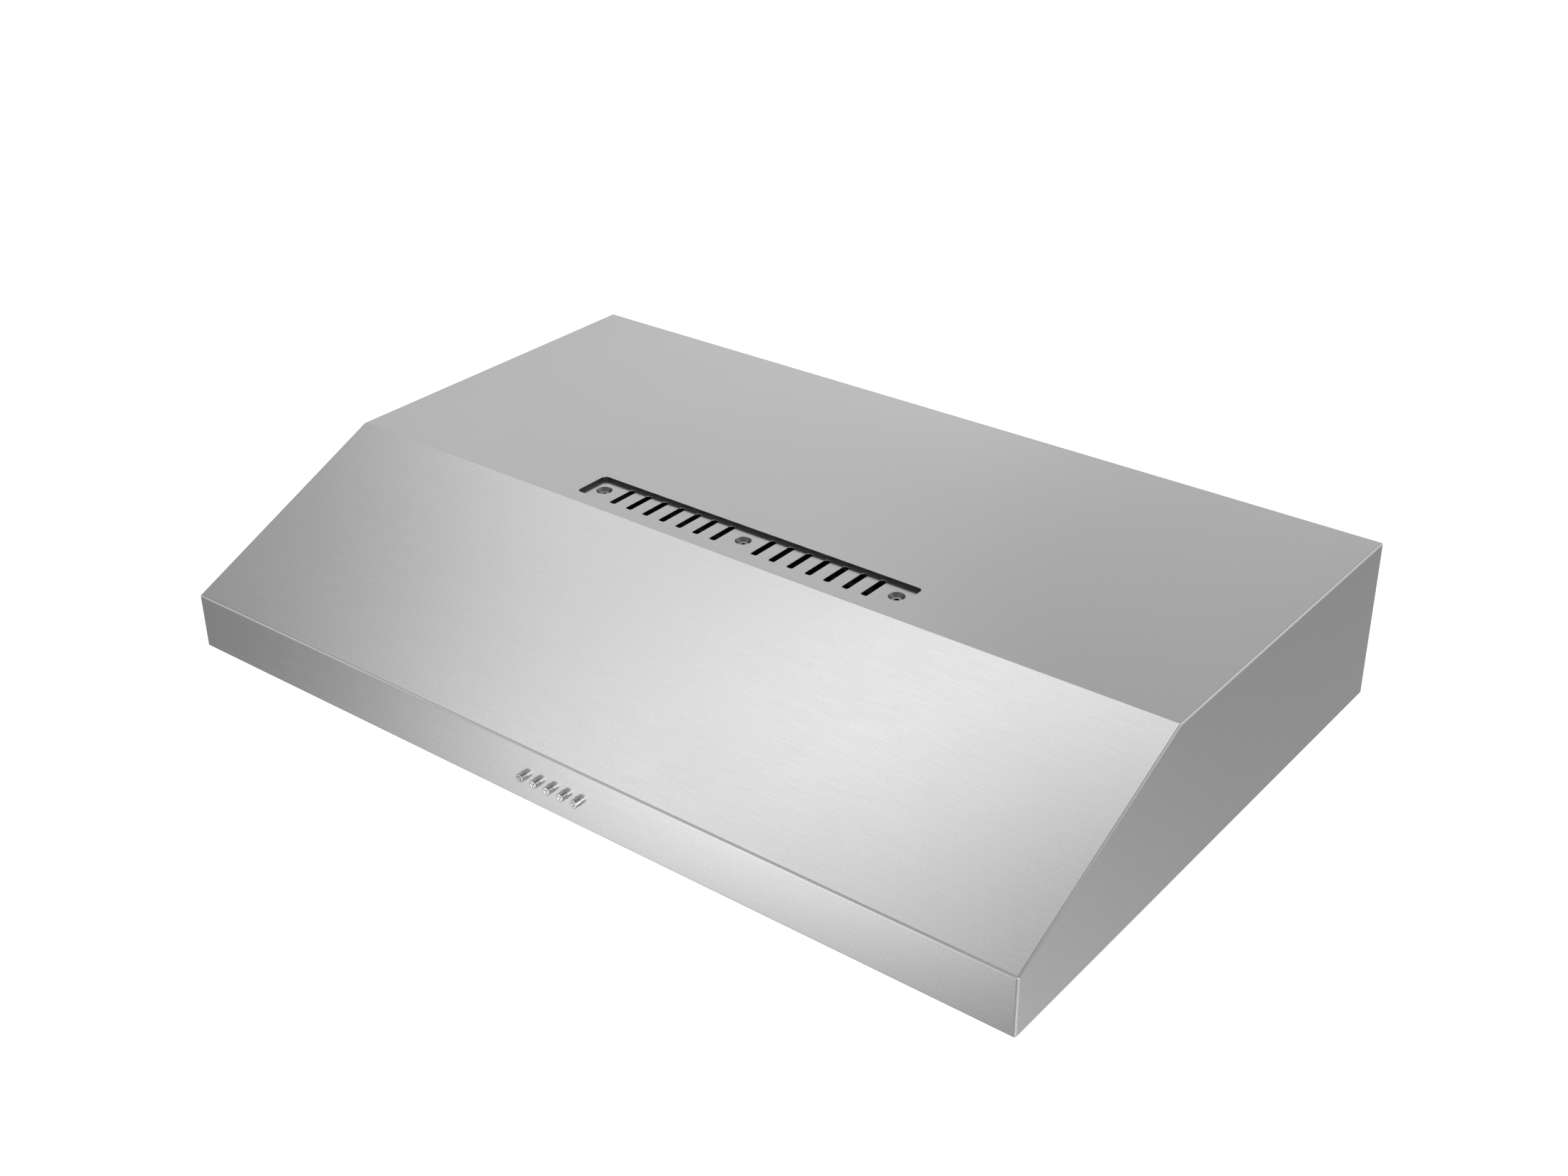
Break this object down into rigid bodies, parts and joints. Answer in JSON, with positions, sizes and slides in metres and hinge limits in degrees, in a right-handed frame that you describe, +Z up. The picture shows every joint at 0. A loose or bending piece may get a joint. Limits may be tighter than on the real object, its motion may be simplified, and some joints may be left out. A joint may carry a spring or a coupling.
{
  "type": "under cabinet range hood",
  "caption": "Slim stainless under-cabinet range hood with sloping front, slotted air outlet on top, push-button controls, swing-down grease filters, lamps and a twin-wheel blower",
  "frame": {"origin": "centre of the flat top face, the face that meets the cabinet", "axes": "+X to the viewer's right, -Y is the front, +Y meets the wall, +Z up"},
  "size_m": [0.759, 0.4932, 0.128],
  "materials": {
    "steel": "brushed stainless steel, grain along the width",
    "zinc": "galvanised sheet, dull spangle",
    "aluminium": "satin",
    "filter_mesh": "layered expanded mesh",
    "chrome": "polished",
    "black": "moulded, fine texture",
    "grey": "moulded grey",
    "white": "moulded off-white",
    "charcoal": "charcoal cartridge",
    "lens": "frosted diffuser"
  },
  "bodies": {
    "canopy": {"canopy_shell": "steel", "left_side_panel": "steel", "right_side_panel": "steel", "underside_pan": "steel", "left_lamp_housing": "steel", "right_lamp_housing": "steel", "back_panel": "zinc", "rear_duct_cover": "zinc", "discharge_plenum": "zinc", "blower_bracket": "zinc", "terminal_box": "zinc", "terminal_box_cover": "zinc", "switch_bracket": "zinc", "duct_cover_screw_1": "zinc", "duct_cover_screw_2": "zinc", "duct_cover_screw_3": "zinc", "duct_cover_screw_4": "zinc", "pan_screw_1": "zinc", "pan_screw_2": "zinc", "pan_screw_3": "zinc", "pan_screw_4": "zinc", "pan_screw_5": "zinc", "pan_screw_6": "zinc", "motor_body": "aluminium", "left_scroll_housing": "black", "left_charcoal_filter": "charcoal", "left_lamp_lens": "lens", "left_led_board": "white", "left_lamp_lead": "black", "right_scroll_housing": "black", "right_charcoal_filter": "charcoal", "right_lamp_lens": "lens", "right_led_board": "white", "right_lamp_lead": "black", "switch_block": "black", "cable_gland": "black", "gland_locknut": "black", "motor_lead": "black", "switch_lead": "black", "run_capacitor": "white", "led_driver": "white"},
    "button_1_body": {"button_1": "chrome", "button_spring_1": "zinc"},
    "button_2_body": {"button_2": "chrome", "button_spring_2": "zinc"},
    "button_3_body": {"button_3": "chrome", "button_spring_3": "zinc"},
    "button_4_body": {"button_4": "chrome", "button_spring_4": "zinc"},
    "button_5_body": {"button_5": "chrome", "button_spring_5": "zinc"},
    "left_filter": {"left_filter_frame": "aluminium", "left_filter_mesh": "filter_mesh"},
    "left_latch": {"left_filter_latch": "zinc"},
    "right_filter": {"right_filter_frame": "aluminium", "right_filter_mesh": "filter_mesh"},
    "right_latch": {"right_filter_latch": "zinc"},
    "rotor": {"rotor_shaft": "chrome", "left_blower_wheel": "grey", "right_blower_wheel": "grey"}
  },
  "joints": [
    {"name": "button_1_press", "type": "slide", "parent": "canopy", "child": "button_1_body", "axis": [0, 1, 0], "range_m": [0, 0.003], "stiffness_N_per_m": 350, "springref_m": -0.002},
    {"name": "button_2_press", "type": "slide", "parent": "canopy", "child": "button_2_body", "axis": [0, 1, 0], "range_m": [0, 0.003], "stiffness_N_per_m": 350, "springref_m": -0.002},
    {"name": "button_3_press", "type": "slide", "parent": "canopy", "child": "button_3_body", "axis": [0, 1, 0], "range_m": [0, 0.003], "stiffness_N_per_m": 350, "springref_m": -0.002},
    {"name": "button_4_press", "type": "slide", "parent": "canopy", "child": "button_4_body", "axis": [0, 1, 0], "range_m": [0, 0.003], "stiffness_N_per_m": 350, "springref_m": -0.002},
    {"name": "button_5_press", "type": "slide", "parent": "canopy", "child": "button_5_body", "axis": [0, 1, 0], "range_m": [0, 0.003], "stiffness_N_per_m": 350, "springref_m": -0.002},
    {"name": "left_filter_swing", "type": "hinge", "parent": "canopy", "child": "left_filter", "pos_m": [-0.178, 0.104, -0.1206], "axis": [1, 0, 0], "range_deg": [0, 75]},
    {"name": "left_latch_slide", "type": "slide", "parent": "left_filter", "child": "left_latch", "axis": [0, 1, 0], "range_m": [0, 0.007], "stiffness_N_per_m": 250, "springref_m": -0.003},
    {"name": "right_filter_swing", "type": "hinge", "parent": "canopy", "child": "right_filter", "pos_m": [0.178, 0.104, -0.1206], "axis": [1, 0, 0], "range_deg": [0, 75]},
    {"name": "right_latch_slide", "type": "slide", "parent": "right_filter", "child": "right_latch", "axis": [0, 1, 0], "range_m": [0, 0.007], "stiffness_N_per_m": 250, "springref_m": -0.003},
    {"name": "rotor_spin", "type": "hinge", "parent": "canopy", "child": "rotor", "pos_m": [0, -0.04, -0.062], "axis": [1, 0, 0], "continuous": true}
  ]
}
